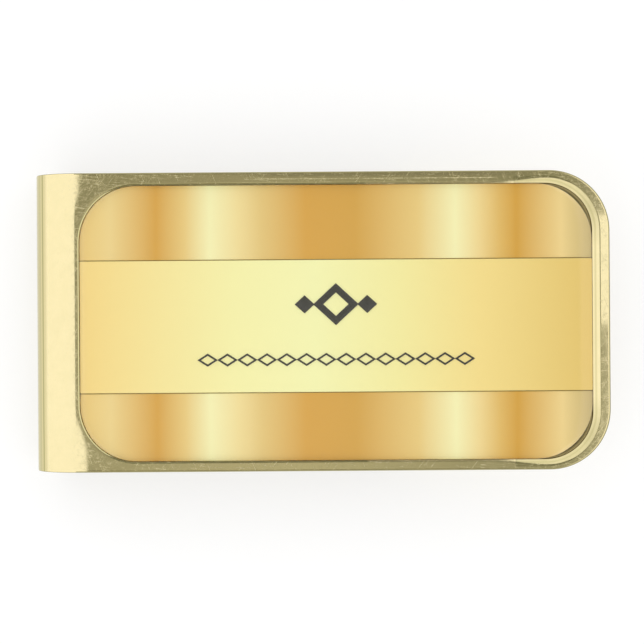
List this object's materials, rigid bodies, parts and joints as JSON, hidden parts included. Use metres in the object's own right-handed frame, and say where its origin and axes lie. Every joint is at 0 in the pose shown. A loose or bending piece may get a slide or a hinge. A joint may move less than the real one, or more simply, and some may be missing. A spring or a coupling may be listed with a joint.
{
  "type": "folded money clip",
  "caption": "Gold-plated strip folded into a spring clip for folded notes, with a raised rim round a tray that holds a gold insert plate under clear resin.",
  "frame": {"origin": "middle of the footprint, on the surface that the clip lies on, leaf down and face up", "axes": "+X along the length, from the fold to the free end; +Y across the face, towards the top of its ornament; +Z out of the face"},
  "size_m": [0.0508, 0.0264, 0.0076],
  "materials": {
    "gold_plate": "polished gold plating",
    "insert_gold": "satin gold with soft darker and paler bands across its length",
    "strip_gold": "pale satin gold",
    "enamel": "smooth black enamel",
    "lens_resin": "clear glossy resin",
    "adhesive": "pale pressure-sensitive adhesive"
  },
  "bodies": {
    "leaf": {"spring_leaf": "gold_plate", "spring_fold": "gold_plate"},
    "face": {"face_plate": "gold_plate", "insert_adhesive": "adhesive", "insert_plate": "insert_gold", "centre_strip": "strip_gold", "ornament": "enamel", "lozenge_chain": "enamel", "clear_lens": "lens_resin"}
  },
  "joints": [
    {"name": "fold_flexure", "type": "hinge", "parent": "leaf", "child": "face", "pos_m": [-0.0216, 0, 0.0038], "axis": [0, -1, 0], "range_deg": [0, 6], "stiffness_Nm_per_rad": 1.2}
  ]
}
